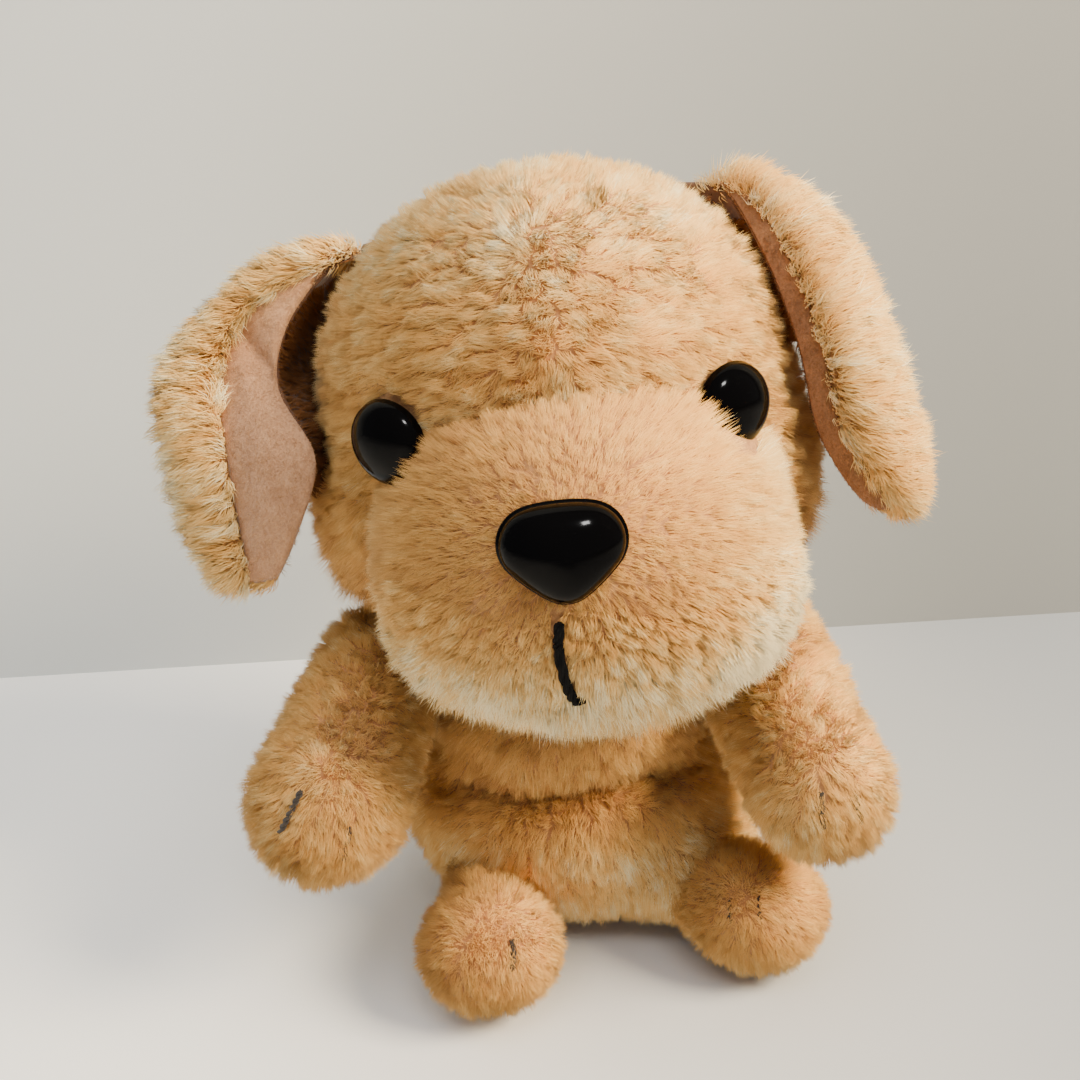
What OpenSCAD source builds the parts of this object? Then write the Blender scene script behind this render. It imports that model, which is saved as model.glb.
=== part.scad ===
// Seated plush dog, stuffed, with safety eyes and nose, loose ears and stubby sewn limbs.
// Millimetres. +Z is up, the face looks along -Y and the dog's own left is +X.
// The origin is on the floor, under the middle of the seat.

/* [Torso] */
// Half width of the belly
belly_rx = 35; // [33:0.5:36]
// Half depth of the belly
belly_ry = 31; // [29:0.5:32]
// Half height of the belly before its underside is flattened
belly_rz = 26; // [25:0.5:27]
// Height of the belly's middle above the floor
belly_z = 22; // [21:0.5:23]
// Half width of the chest
chest_rx = 28.5; // [27:0.5:29]
// Half depth of the chest
chest_ry = 27; // [26:0.5:28]
// Half height of the chest
chest_rz = 25; // [24:0.5:26]
// Height of the chest's middle above the floor
chest_z = 47; // [46:0.5:48]
// Height to which the pellet bag fills the belly
pellet_top = 18; // [14:1:22]

/* [Head] */
// Half width of the head
head_rx = 41.5; // [40:0.5:43]
// Half depth of the head
head_ry = 38; // [37:0.5:39]
// Half height of the head
head_rz = 38.5; // [37.5:0.5:39]
// Height of the head's middle above the floor
head_z = 108; // [107:0.5:109]
// Lean of the head to the dog's right, in degrees
head_tilt = 3.3; // [0:0.1:4]
// Where the two head panels meet, left or right of the middle
head_seam_x = -3; // [-4:0.5:0]
// Diameter of a safety eye
eye_d = 12.6; // [11:0.2:13]
// Width of the safety nose
nose_w = 18.4; // [16:0.2:20]

/* [Neck] */
// Radius of the stuffed neck ball
neck_r = 13; // [12:0.5:13.5]
// Height of the neck ball's middle above the floor
neck_z = 71; // [70:0.5:72]

/* [Limbs] */
// Radius of a shoulder
shoulder_r = 13.5; // [12.5:0.5:14]
// Radius of a paw
paw_r = 15; // [14:0.5:15]
// Radius of a hip
hip_r = 11; // [10:0.5:11.5]
// Half width of a foot
foot_rx = 14; // [13:0.5:14.5]
// Half height and half length of a foot
foot_rz = 12.6; // [12:0.2:13]
// Radius of the tail's tip
tail_r = 5.5; // [5:0.5:6]

/* [Fabric] */
// Thickness of the plush, backing and pressed pile together
skin_t = 2; // [1.6:0.1:2.4]
// Thickness of an ear's short-pile lining
lining_t = 1.2; // [0.8:0.1:1.5]
// Radius of the embroidery thread lines
thread_r = 0.6; // [0.4:0.1:0.8]
// Gap between bodies that move against each other
clear = 0.4; // [0.3:0.1:0.6]

/* [Hidden] */
$fn = 48;

left = 1;
right = -1;
fur = "burlywood";
fur_dark = "peru";
wadding = "whitesmoke";
snug = 0.15;              // gap between a skin and what fills it
seam_gap = 0.05;          // gap between two panels of one body
big = 200;                // side of a cutting block

// Torso
mid_y = 3;                // depth of the torso's, neck's and head's own middle
belly_c = [0, mid_y, belly_z];
belly_r = [belly_rx, belly_ry, belly_rz];
chest_c = [0, mid_y, chest_z];
chest_r = [chest_rx, chest_ry, chest_rz];
bottom_top = 4;           // top of the bottom panel
collar = [[13, 64], [30, 54]];   // radius and height of the sloped top of the torso
neck_c = [0, mid_y, neck_z];

// Head, before it leans
head_c = [0, 2, head_z];
head_r = [head_rx, head_ry, head_rz];
cheek_c = [0, 3.5, 92];
cheek_r = [47, 34, 24.5];
bridge_c = [1.6, -20, 96];
bridge_r = [33, 29, 23];
jaw_c = [2, -27, 82.2];
jaw_r = [33.8, 23.5, 21.5];
chin_z = 71;              // seam between the muzzle panel and the chin panel

// Eyes and nose
eye_c = [26.4, -25.6, 110];
eye_turn = 33;            // how far an eye looks outward
eye_h = 4.2;              // height of the eye's dome
stem_r = 1.6;
stem_l = 11;
nose_c = [-1.5, -47.6, 98.5];
nose_lift = 14;           // how far the nose looks upward
nose_h = 5;               // height of the nose's dome
nose_corner = [[1, 0.42], [-1, 0.42], [0, -0.66]];   // in units of the corner spread
nose_corner_r = 4.3;
nose_spread = nose_w / 2 - nose_corner_r;
washer_t = 1.2;
eye_washer_r = eye_d / 2 - 0.8;
nose_washer_r = nose_w / 2 - 2.5;
eye_washer_depth = 2.8;   // from an eye's seat to the front of its washer
nose_washer_depth = 5;    // from the nose's seat to the front of its washer

// Limbs, each from its inner ball to its outer ball
arms = [[[36, -2, 53.5], [41, -33, 44.5]], [[-36, -2, 53.5], [-43.5, -30, 44.5]]];
legs = [[[20, -15, 12.5], [33.5, -27.5, 12.8]], [[-17, -15, 12.5], [-17, -34, 12.8]]];
ankle_r = 11.5;
splay_room = 2.6;         // room for a leg where it splays against the belly
proud = 0.3;              // how far a straight stitch stands off the rounded cloth at its ends
tail_a = [0, 33.5, 12];
tail_b = [0, 43, 15.5];
tail_root_r = 5;

function side_item(list, side) = side == left ? list[0] : list[1];

// ---- shared shapes ----

// An ellipsoid at c with half sizes r, grown by g
module blob(c, r, g = 0) {
    translate(c) scale([r.x + g, r.y + g, r.z + g]) sphere(r = 1);
}

// A cylinder of radius r from a to b
module rod(a, b, r) {
    d = b - a;
    len = norm(d);
    translate(a)
        rotate([0, acos(d.z / len), atan2(d.y, d.x)])
            cylinder(h = len, r = r);
}

// Straight stitches of one thread through a list of points, each dipping into the cloth at its ends
module stitches(points) {
    for (i = [1:len(points) - 1]) {
        along = unit(points[i] - points[i - 1]);
        rod(points[i - 1] + snug * along, points[i] - snug * along, thread_r);
    }
}

// Half outline of a rounded limb along +Z: a ball of ra at 0, a ball of rb at len and a straight skin between
function limb_outline(len, ra, rb) = let (lean = asin((rb - ra) / len)) concat(
    [for (k = [0:9]) let (t = 180 - k * (90 - lean) / 9) [ra * sin(t), ra * cos(t)]],
    [for (k = [0:9]) let (t = (90 + lean) * (1 - k / 9)) [rb * sin(t), len + rb * cos(t)]]
);

module limb(a, b, ra, rb) {
    d = b - a;
    len = norm(d);
    translate(a)
        rotate([0, acos(d.z / len), atan2(d.y, d.x)])
            rotate_extrude() polygon(limb_outline(len, ra, rb));
}

module above(z) { translate([-big / 2, -big / 2, z]) cube(big); }
module below(z) { translate([-big / 2, -big / 2, z - big]) cube(big); }
module front_of(y) { translate([-big / 2, y - big, -big / 2]) cube(big); }
module behind(y) { translate([-big / 2, y, -big / 2]) cube(big); }
module left_of(x) { translate([x, -big / 2, 0]) cube(big); }
module right_of(x) { translate([x - big, -big / 2, 0]) cube(big); }

// ---- torso ----

// The space under the sloped collar
module under_collar(inset) {
    drop = [0, -1.1 * inset];
    far = [70, collar[1].y];
    translate([0, mid_y, 0]) rotate_extrude()
        polygon([
            [0, 0], [far.x, 0], far + drop, collar[1] + drop, collar[0] + drop, [0, collar[0].y] + drop
        ]);
}

// Everything that the torso gives way to: neck, shoulders, hips and tail
module torso_cuts() {
    translate(neck_c) sphere(r = neck_r + clear);
    for (side = [left, right]) {
        arm_volume(side_item(arms, side), -clear);
        ends = side_item(legs, side);
        limb(ends[0], ends[1], hip_r + clear, ankle_r + splay_room);
    }
    tail_volume(-3 * clear);
}

// The torso's volume, its surface moved inward by inset
module torso_volume(inset = 0) {
    intersection() {
        union() {
            blob(belly_c, belly_r, -inset);
            blob(chest_c, chest_r, -inset);
        }
        above(inset);
        under_collar(inset);
    }
}

module torso_skin() {
    difference() {
        torso_volume();
        torso_volume(skin_t);
        torso_cuts();
    }
}

module torso_front_panel() {
    color(fur) intersection() {
        torso_skin();
        front_of(mid_y);
        above(bottom_top);
    }
}

module torso_back_panel() {
    color(fur) intersection() {
        torso_skin();
        behind(mid_y + seam_gap);
        above(bottom_top);
    }
}

module bottom_panel() {
    color(fur_dark) intersection() {
        torso_skin();
        below(bottom_top - seam_gap);
    }
}

module torso_filling() {
    color(wadding) difference() {
        torso_volume(skin_t + snug);
        torso_cuts();
        below(pellet_top + snug);
    }
}

module pellet_bag() {
    color("tan") difference() {
        torso_volume(skin_t + snug);
        torso_cuts();
        above(pellet_top);
    }
}

module neck_filling() {
    color(fur) translate(neck_c) sphere(r = neck_r);
}

// ---- head ----

// Places what belongs to the leaning head
module head_frame() {
    translate(head_c) rotate([0, -head_tilt, 0]) translate(-head_c) children();
}

// Seat of an eye: its own +Z points out of the face
module at_eye(side) {
    head_frame()
        translate([side * eye_c.x, eye_c.y, eye_c.z]) rotate([90, 0, side * eye_turn]) children();
}

module at_nose() {
    head_frame() translate(nose_c) rotate([90 - nose_lift, 0, 0]) children();
}

module head_ball(inset = 0) {
    head_frame() {
        blob(head_c, head_r, -inset);
        blob(cheek_c, cheek_r, -inset);
    }
}

module muzzle_ball(inset = 0) {
    head_frame() {
        blob(bridge_c, bridge_r, -inset);
        blob(jaw_c, jaw_r, -inset);
    }
}

module neck_socket() {
    translate(neck_c) sphere(r = neck_r + clear);
}

// Room for an eye and its stem in the skins
module eye_pocket(side) {
    at_eye(side) {
        translate([0, 0, -seam_gap]) cylinder(h = 8, r = eye_d / 2 + seam_gap);
        translate([0, 0, -stem_l]) cylinder(h = stem_l + 1, r = stem_r + seam_gap);
    }
}

module eye_pockets() {
    eye_pocket(left);
    eye_pocket(right);
}

module nose_outline(grow = 0) {
    hull() for (c = nose_corner)
        translate(nose_spread * c) circle(r = nose_corner_r + grow);
}

module nose_pocket() {
    at_nose() {
        linear_extrude(8) nose_outline(seam_gap);
        translate([0, 0, -stem_l]) cylinder(h = stem_l + 1, r = stem_r + seam_gap);
    }
}

// The part of the head's skin left or right of its centre seam
module head_skin(side) {
    difference() {
        head_ball();
        head_ball(skin_t);
        head_frame() {
            if (side == left) right_of(head_seam_x + seam_gap);
            else left_of(head_seam_x);
        }
        muzzle_ball(-seam_gap);
        neck_socket();
        eye_pocket(side);
    }
}

module head_left_panel() { color(fur) head_skin(left); }
module head_right_panel() { color(fur) head_skin(right); }

module muzzle_skin() {
    difference() {
        muzzle_ball();
        muzzle_ball(skin_t);
        head_ball(-seam_gap);
        neck_socket();
        eye_pockets();
        nose_pocket();
    }
}

module muzzle_panel() {
    color(fur) intersection() {
        muzzle_skin();
        head_frame() above(chin_z + seam_gap);
    }
}

module chin_panel() {
    color("wheat") intersection() {
        muzzle_skin();
        head_frame() below(chin_z);
    }
}

module head_filling() {
    color(wadding) difference() {
        union() {
            head_ball(skin_t + snug);
            muzzle_ball(skin_t + snug);
        }
        neck_socket();
        eye_pockets();
        for (side = [left, right]) at_eye(side) washer_room(eye_washer_r, eye_washer_depth);
        at_nose() washer_room(nose_washer_r, nose_washer_depth);
    }
}

// ---- eyes, nose and mouth ----

module stem() {
    translate([0, 0, -stem_l]) cylinder(h = stem_l + 0.5, r = stem_r);
}

module washer(r, depth) {
    translate([0, 0, -depth - washer_t]) difference() {
        cylinder(h = washer_t, r = r);
        translate([0, 0, -1]) cylinder(h = washer_t + 2, r = stem_r + seam_gap);
    }
}

// Room in the filling for a washer and the stem behind it
module washer_room(r, depth) {
    translate([0, 0, -depth - washer_t - snug]) cylinder(h = 12, r = r + snug);
    translate([0, 0, -stem_l - snug]) cylinder(h = stem_l, r = stem_r + snug);
}

module eye(side) {
    ball_r = (pow(eye_d / 2, 2) + pow(eye_h, 2)) / (2 * eye_h);
    color("black") at_eye(side) {
        intersection() {
            translate([0, 0, eye_h - ball_r]) sphere(r = ball_r);
            cylinder(h = eye_h + 1, r = eye_d / 2);
        }
        stem();
    }
}

module left_eye() { eye(left); }
module right_eye() { eye(right); }
module left_eye_washer() { color("ivory") at_eye(left) washer(eye_washer_r, eye_washer_depth); }
module right_eye_washer() { color("ivory") at_eye(right) washer(eye_washer_r, eye_washer_depth); }

module nose() {
    color("black") at_nose() {
        difference() {
            hull() for (c = nose_corner)
                translate(nose_spread * c) scale([1, 1, nose_h / nose_corner_r])
                    sphere(r = nose_corner_r, $fn = 28);
            translate([-big / 2, -big / 2, -big]) cube(big);
        }
        stem();
    }
}

module nose_washer() { color("ivory") at_nose() washer(nose_washer_r, nose_washer_depth); }

// Points down the front of the muzzle, on its surface, before the head leans
mouth_z = [87.5, 83, 78, 73.5];
mouth_x = [-3, -3, -2.6, -1.6];
function front_y(c, r, x, z) =
    c.y - r.y * sqrt(max(0, 1 - pow((x - c.x) / r.x, 2) - pow((z - c.z) / r.z, 2)));
mouth_points = [for (i = [0:3]) [
    mouth_x[i],
    min(front_y(jaw_c, jaw_r, mouth_x[i], mouth_z[i]), front_y(bridge_c, bridge_r, mouth_x[i], mouth_z[i]))
        - thread_r - proud,
    mouth_z[i]
]];

module mouth_stitch() {
    color("black") head_frame() stitches(mouth_points);
}

// ---- ears ----
// Each ear is a curved sheet. A row runs from the seam or inner edge to the outer edge.

left_ear_rows = [
    [[26.8, 7, 138.3], [30.3, 7, 135.3], [34.4, 7, 130.7]],
    [[30, 3.5, 139.5], [36, 4.5, 139.5], [41, 6.5, 136.5]],
    [[35, -6, 130.5], [44, -5, 132], [51, 5, 129]],
    [[39.5, -13.5, 117.5], [50, -12, 118.5], [58.5, 3, 117]],
    [[42.5, -16.5, 104.5], [54, -15, 104], [65, 1, 103]],
    [[47.5, -17, 95], [57, -16, 93], [66, -3, 92]],
    [[53.5, -14.5, 86.5], [58.5, -13.5, 84.5], [63, -9, 85.5]]
];
right_ear_rows = [
    [[-32.7, 7, 132.4], [-34.2, 7, 130.8], [-35.6, 7, 129]],
    [[-37.5, 2, 131], [-43, 3, 131], [-49, 3.5, 129.5]],
    [[-45, -3, 122.5], [-51, 0, 125], [-57, -2, 126]],
    [[-47, -8, 113], [-56, -3, 115], [-67, -8, 116]],
    [[-40.5, -18, 103.5], [-54, -12, 102.5], [-67, -12, 102]],
    [[-45, -19, 91], [-54, -14, 89], [-65, -14, 90]],
    [[-51, -17, 80], [-56, -15, 78.5], [-60, -15, 80]]
];
ear_outer_t = 2.6;
ear_across = 8;
ear_along = 14;
root_thin = 0.15;         // share of the thickness that is left in the seam
root_reach = 0.5;         // share of the ear's length over which the pressed part thickens

function mix(a, b, t) = a + (b - a) * t;
// A quadratic through three points, at 0, half and 1
function arc3(p, t) = p[0] * (1 - t) * (1 - 2 * t) + p[1] * 4 * t * (1 - t) + p[2] * t * (2 * t - 1);
// A smooth curve through a list of points, t from 0 to 1
function through(p, t) = let (
    n = len(p) - 1,
    s = min(t * n, n - 0.0001),
    i = floor(s),
    f = s - i,
    a = p[max(i - 1, 0)],
    b = p[i],
    c = p[i + 1],
    d = p[min(i + 2, n)]
) 0.5 * (2 * b + (c - a) * f + (2 * a - 5 * b + 4 * c - d) * f * f + (3 * b - a - 3 * c + d) * f * f * f);
function ear_point(rows, u, v) = arc3([for (k = [0:2]) through([for (r = rows) r[k]], v)], u);
function unit(a) = a / norm(a);
function ear_normal(rows, u, v) = let (
    e = 0.01,
    du = ear_point(rows, min(u + e, 1), v) - ear_point(rows, max(u - e, 0), v),
    dv = ear_point(rows, u, min(v + e, 1)) - ear_point(rows, u, max(v - e, 0))
) unit(cross(du, dv));

// A closed layer of the sheet, between two distances from it along its normal, pressed thin in the
// seam at the ear's root
module ear_layer(rows, near, far) {
    nu = ear_across + 1;
    nv = ear_along + 1;
    points = [for (t = [near, far], j = [0:ear_along], i = [0:ear_across])
        let (u = i / ear_across, v = j / ear_along)
        ear_point(rows, u, v) + t * min(1, root_thin + v / root_reach) * ear_normal(rows, u, v)];
    far_at = nu * nv;
    rim = concat(
        [for (i = [0:ear_across - 1]) i],
        [for (j = [0:ear_along - 1]) j * nu + ear_across],
        [for (i = [0:ear_across - 1]) ear_along * nu + ear_across - i],
        [for (j = [0:ear_along - 1]) (ear_along - j) * nu]
    );
    faces = concat(
        [for (j = [0:ear_along - 1], i = [0:ear_across - 1], h = [0, 1]) let (a = j * nu + i)
            h == 0 ? [a, a + 1, a + nu] : [a + 1, a + nu + 1, a + nu]],
        [for (j = [0:ear_along - 1], i = [0:ear_across - 1], h = [0, 1]) let (a = far_at + j * nu + i)
            h == 0 ? [a, a + nu, a + 1] : [a + 1, a + nu, a + nu + 1]],
        [for (k = [0:len(rim) - 1], h = [0, 1])
            let (a = rim[k], b = rim[(k + 1) % len(rim)])
            h == 0 ? [a, far_at + a, b] : [b, far_at + a, far_at + b]]
    );
    polyhedron(points = points, faces = faces);
}

module left_ear_outer() { color(fur) ear_layer(left_ear_rows, snug, ear_outer_t); }
module left_ear_lining() { color("rosybrown") ear_layer(left_ear_rows, -lining_t, 0); }
module right_ear_outer() { color(fur) ear_layer(right_ear_rows, -ear_outer_t, -snug); }
module right_ear_lining() { color("rosybrown") ear_layer(right_ear_rows, 0, lining_t); }

// ---- arms and legs ----

module arm_volume(ends, inset = 0) {
    limb(ends[0], ends[1], shoulder_r - inset, paw_r - inset);
}

module leg_volume(ends, inset = 0) {
    limb(ends[0], ends[1], hip_r - inset, ankle_r - inset);
    blob(ends[1], [foot_rx, foot_rz, foot_rz], -inset);
}

// The open end that is sewn into the torso, facing the torso's middle
module seam_opening(a, r) {
    toward = unit([-a.x, mid_y - a.y, 0]);
    rod(a + toward * r * 0.7, a + toward * r * 2, r);
}

// A point on a ball or a foot, from its turn about Z away from the front and its height angle
function on_ball(c, r, turn, lift) =
    c + [r.x * sin(turn) * cos(lift), -r.y * cos(turn) * cos(lift), r.z * sin(lift)];

// Two stitched lines between the toes, each from its upper to its lower [turn, lift]
paw_toes = [[[[-14, 32], [-10, 0]], [[18, 28], [22, 0]]], [[[-8, 44], [-23, 14]], [[26, 14], [18, -15]]]];
foot_toes = [[[[-46, 48], [-34, 22]], [[-10, 56], [-8, 30]]], [[[-34, 46], [-25, 20]], [[30, 48], [20, 20]]]];
toe_parts = 3;

module toe_lines(c, r, lines) {
    out = (thread_r + proud) * [1, 1, 1];
    for (line = lines)
        stitches([
            for (i = [0:toe_parts])
                let (m = mix(line[0], line[1], i / toe_parts)) on_ball(c, r + out, m.x, m.y)
        ]);
}

module paw_stitches(side) {
    color("dimgray") toe_lines(side_item(arms, side)[1], paw_r * [1, 1, 1], side_item(paw_toes, side));
}

module foot_stitches(side) {
    color("dimgray")
        toe_lines(side_item(legs, side)[1], [foot_rx, foot_rz, foot_rz], side_item(foot_toes, side));
}

module arm_skin(side) {
    ends = side_item(arms, side);
    color(fur) difference() {
        arm_volume(ends);
        arm_volume(ends, skin_t);
        seam_opening(ends[0], shoulder_r);
    }
}

module arm_filling(side) {
    ends = side_item(arms, side);
    color(wadding) difference() {
        arm_volume(ends, skin_t + snug);
        seam_opening(ends[0], shoulder_r);
    }
}

module leg_skin(side) {
    ends = side_item(legs, side);
    color(fur) difference() {
        leg_volume(ends);
        leg_volume(ends, skin_t);
        seam_opening(ends[0], hip_r);
    }
}

module leg_filling(side) {
    ends = side_item(legs, side);
    color(wadding) difference() {
        leg_volume(ends, skin_t + snug);
        seam_opening(ends[0], hip_r);
    }
}

module left_arm_skin() { arm_skin(left); }
module left_arm_filling() { arm_filling(left); }
module left_paw_stitches() { paw_stitches(left); }
module right_arm_skin() { arm_skin(right); }
module right_arm_filling() { arm_filling(right); }
module right_paw_stitches() { paw_stitches(right); }
module left_leg_skin() { leg_skin(left); }
module left_leg_filling() { leg_filling(left); }
module left_foot_stitches() { foot_stitches(left); }
module right_leg_skin() { leg_skin(right); }
module right_leg_filling() { leg_filling(right); }
module right_foot_stitches() { foot_stitches(right); }

// ---- tail ----

module tail_volume(inset = 0) {
    limb(tail_a, tail_b, tail_root_r - inset, tail_r - inset);
}

module tail_opening() {
    translate([-10, tail_a.y - 20 - tail_root_r * 0.6, 0]) cube([20, 20, 30]);
}

module tail_skin() {
    color(fur) difference() {
        tail_volume();
        tail_volume(skin_t);
        tail_opening();
    }
}

module tail_filling() {
    color(wadding) difference() {
        tail_volume(skin_t + snug);
        tail_opening();
    }
}

torso_front_panel();
torso_back_panel();
bottom_panel();
torso_filling();
pellet_bag();
neck_filling();
head_left_panel();
head_right_panel();
muzzle_panel();
chin_panel();
head_filling();
left_eye();
right_eye();
left_eye_washer();
right_eye_washer();
nose();
nose_washer();
mouth_stitch();
left_ear_outer();
left_ear_lining();
right_ear_outer();
right_ear_lining();
left_arm_skin();
left_arm_filling();
left_paw_stitches();
right_arm_skin();
right_arm_filling();
right_paw_stitches();
left_leg_skin();
left_leg_filling();
left_foot_stitches();
right_leg_skin();
right_leg_filling();
right_foot_stitches();
tail_skin();
tail_filling();
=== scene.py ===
import math

import bpy
import numpy as np
from mathutils import Matrix, Vector


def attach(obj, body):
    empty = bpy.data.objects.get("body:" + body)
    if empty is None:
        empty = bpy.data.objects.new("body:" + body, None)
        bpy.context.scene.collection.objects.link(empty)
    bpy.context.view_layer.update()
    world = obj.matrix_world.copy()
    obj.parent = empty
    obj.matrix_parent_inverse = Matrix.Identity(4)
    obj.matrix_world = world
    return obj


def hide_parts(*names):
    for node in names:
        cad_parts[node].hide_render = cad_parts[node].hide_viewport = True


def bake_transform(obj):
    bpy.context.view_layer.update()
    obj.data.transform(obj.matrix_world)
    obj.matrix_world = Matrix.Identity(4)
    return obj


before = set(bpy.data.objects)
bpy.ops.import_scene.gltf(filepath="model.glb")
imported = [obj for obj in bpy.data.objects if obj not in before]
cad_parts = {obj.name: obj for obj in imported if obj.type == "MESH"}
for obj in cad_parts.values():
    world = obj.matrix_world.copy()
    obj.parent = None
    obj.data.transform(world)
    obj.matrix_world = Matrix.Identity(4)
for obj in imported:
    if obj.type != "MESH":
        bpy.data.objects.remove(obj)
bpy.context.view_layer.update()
MM = 0.001
UP = np.array([0.0, 0.0, 1.0])
PILE = 1.0      # share of the pile strands that are made
rng = np.random.default_rng(7)

# ---------------- camera

SENSOR = 36.0                                  # mm, the camera's sensor side
LENS = 36.03                                   # mm
CAMERA_PLACE = (-0.0041, -0.185, 0.162)        # m
LOOK_DOWN = math.radians(24.2)
CAMERA_ROLL = math.radians(2.9)

cam = bpy.data.objects.new("camera", bpy.data.cameras.new("camera"))
bpy.context.scene.collection.objects.link(cam)
cam.data.sensor_width = SENSOR
cam.data.lens = LENS
cam.data.clip_start = 0.001
cam.matrix_world = (
    Matrix.Translation(CAMERA_PLACE)
    @ Matrix.Rotation(math.pi / 2 - LOOK_DOWN, 4, "X")
    @ Matrix.Rotation(-CAMERA_ROLL, 4, "Z")
)
bpy.context.scene.camera = cam

# ---------------- the object's own numbers, in mm

HEAD_C = np.array([0, 2, 108.0])
HEAD_TILT = math.radians(3.3)
SEAM_X = -3.0
BLOBS = {
    "belly": ((0, 3, 22), (35, 31, 26)),
    "chest": ((0, 3, 47), (28.5, 27, 25)),
    "crown": ((0, 2, 108), (41.5, 38, 38.5)),
    "cheeks": ((0, 3.5, 91), (47, 34, 25.5)),
    "bridge": ((1.6, -20, 96), (33, 29, 24.8)),
    "nape": ((0, 7, 82), (45, 24, 16)),
    "haunch": ((18, -8, 15), (19, 19, 14)),
    "jaw": ((2, -27, 82.2), (33.8, 23.5, 21.5)),
}
ARMS = {"left": ((36.6, -2, 53.5), (41.8, -33, 44.5)), "right": ((-36, -2, 53.5), (-43.5, -30, 44.5))}
LEGS = {"left": ((20, -15, 12.5), (33.5, -27.5, 12.8)), "right": ((-17, -15, 12.5), (-17, -34, 12.8))}
ARM_R = {"left": (14.2, 13.4), "right": (13.5, 15)}
FOOT_R = (14.6, 12.6, 12)
TAIL = ((0, 33.5, 12), (0, 43, 15.5))
EYE = np.array([25.7, -25.6, 110.0])
EYE_TURN = math.radians(33)
EYE_R, EYE_H = 6.9, 4.5
NOSE = np.array([-1.5, -47.6, 98.5])
NOSE_LIFT = math.radians(14)
SIDES = ("left", "right")
SIGN = {"left": 1, "right": -1}


def turned(p, angle):
    """Turns p about the head's centre, in the plane that faces the front."""
    c, s = math.cos(angle), math.sin(angle)
    q = np.asarray(p, float) - HEAD_C
    return np.stack([c * q[..., 0] + s * q[..., 2], q[..., 1], -s * q[..., 0] + c * q[..., 2]], -1) + HEAD_C


def lean(p):
    """From the upright head to the head as it leans."""
    return turned(p, -HEAD_TILT)


def unlean(p):
    """From the leaning head back to the upright one."""
    return turned(p, HEAD_TILT)


def unit(v):
    return v / np.maximum(np.linalg.norm(v, axis=-1, keepdims=True), 1e-9)


def smoothstep(a, b, x):
    t = np.clip((x - a) / (b - a), 0, 1)
    return t * t * (3 - 2 * t)


# ---------------- noise

def hashed(i, seed):
    h = (i[..., 0] * 374761393 + i[..., 1] * 668265263 + i[..., 2] * 1442695041 + seed * 1274126177)
    h = h.astype(np.int64) & 0xFFFFFFFF
    h = ((h ^ (h >> 15)) * 739982445) & 0xFFFFFFFF
    h = ((h ^ (h >> 12)) * 695872825) & 0xFFFFFFFF
    return ((h ^ (h >> 15)) & 0xFFFFFF) / float(0xFFFFFF)


def noise(p, scale, seed):
    """Smooth noise from -1 to 1, one value a point."""
    q = p / scale
    i = np.floor(q).astype(np.int64)
    f = q - i
    f = f * f * (3 - 2 * f)
    total = np.zeros(len(p))
    for corner in np.ndindex(2, 2, 2):
        w = np.where(corner, f, 1 - f).prod(1)
        total += w * hashed(i + np.array(corner), seed)
    return total * 2 - 1


def noise3(p, scale, seed):
    return np.stack([noise(p, scale, seed + k) for k in range(3)], -1)


def tuft_centre(p, cell, seed):
    """The nearest jittered centre on a lattice, and a number of its own from 0 to 1."""
    base = np.floor(p / cell).astype(np.int64)
    best = np.full(len(p), 1e9)
    centre = np.zeros_like(p)
    own = np.zeros(len(p))
    for cell_step in np.ndindex(3, 3, 3):
        i = base + np.array(cell_step) - 1
        c = (i + np.stack([hashed(i, seed + k) for k in range(3)], -1)) * cell
        d = ((c - p) ** 2).sum(-1)
        near = d < best
        best = np.where(near, d, best)
        centre[near] = c[near]
        own = np.where(near, hashed(i, seed + 9), own)
    return centre, own


# ---------------- solid shapes as distances

def blob(p, name, leaning=False):
    c, r = (np.array(v, float) for v in BLOBS[name])
    q = (unlean(p) if leaning else p) - c
    k0 = np.linalg.norm(q / r, axis=-1)
    k1 = np.maximum(np.linalg.norm(q / (r * r), axis=-1), 1e-9)
    return k0 * (k0 - 1) / k1


def join(a, b, k):
    h = np.clip(0.5 + 0.5 * (b - a) / k, 0, 1)
    return b + (a - b) * h - k * h * (1 - h)


def meet(a, b, k):
    return -join(-a, -b, k)


def limb(p, a, b, ra, rb):
    a, b = np.array(a, float), np.array(b, float)
    d = b - a
    t = np.clip(((p - a) @ d) / (d @ d), 0, 1)
    return np.linalg.norm(p - a - t[:, None] * d, axis=-1) - (ra + (rb - ra) * t)


def head_f(p):
    return join(join(blob(p, "crown", True), blob(p, "cheeks", True), 9), blob(p, "nape", True), 6)


def muzzle_f(p):
    return join(blob(p, "bridge", True), blob(p, "jaw", True), 9)


def torso_f(p):
    f = join(join(blob(p, "belly"), blob(p, "chest"), 5), blob(p, "haunch"), 4)
    # the fold across the belly
    front = smoothstep(-4, -16, p[:, 1])
    line = 35.5 + 1.2 * np.sin(p[:, 0] / 9) - 0.004 * p[:, 0] ** 2
    f = f + 2.2 * front * np.exp(-((p[:, 2] - line) / 2.6) ** 2)
    # the sloped top under the head, and the flat seat
    q = np.hypot(p[:, 0], p[:, 1] - 3)
    slope = ((p[:, 2] - 64) * 17 + (q - 13) * 10) / math.hypot(17, 10)
    f = meet(f, slope, 6)
    return meet(f, 0.6 - p[:, 2], 4)


def arm_f(side):
    a, b = ARMS[side]
    return lambda p: limb(p, a, b, *ARM_R[side])


def leg_f(side):
    a, b = (np.array(v, float) for v in LEGS[side])

    def f(p):
        foot = np.linalg.norm((p - b) / np.array(FOOT_R), axis=-1)
        return join(limb(p, a, b, 10.4, 10.8), (foot - 1) * 13, 3)

    return f


def tail_f(p):
    return limb(p, *TAIL, 5, 5.5)


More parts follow.
